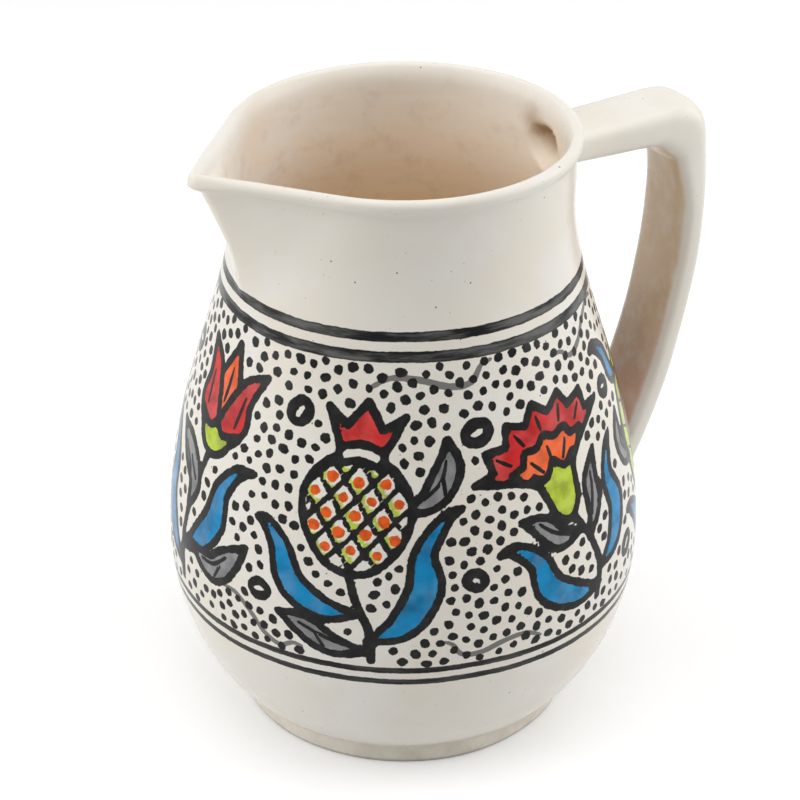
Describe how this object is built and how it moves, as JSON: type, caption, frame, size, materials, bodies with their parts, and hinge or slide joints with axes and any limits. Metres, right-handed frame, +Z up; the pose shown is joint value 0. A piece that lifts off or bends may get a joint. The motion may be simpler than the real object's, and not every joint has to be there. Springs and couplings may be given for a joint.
{
  "type": "stoneware jug",
  "caption": "Round-bellied stoneware jug with a rounded lip, a pouring beak, a strap handle with a square elbow and a turned foot ring.",
  "frame": {"origin": "centre of the foot ring in the plane that the jug stands on, on the axis of the turned body", "axes": "+Z up along the axis of the body, +X towards the handle, so the beak points along -X, and +Y across, square to the handle"},
  "size_m": [0.1398, 0.1144, 0.149],
  "materials": {
    "painted_glaze": "clear gloss glaze over a brush-painted cream slip",
    "cream_glaze": "clear gloss glaze over cream slip, with small iron specks",
    "bare_clay": "unglazed fired stoneware, matt"
  },
  "bodies": {
    "root": {"body": "painted_glaze", "foot_ring": "bare_clay", "spout": "cream_glaze", "handle": "cream_glaze"}
  },
  "joints": []
}
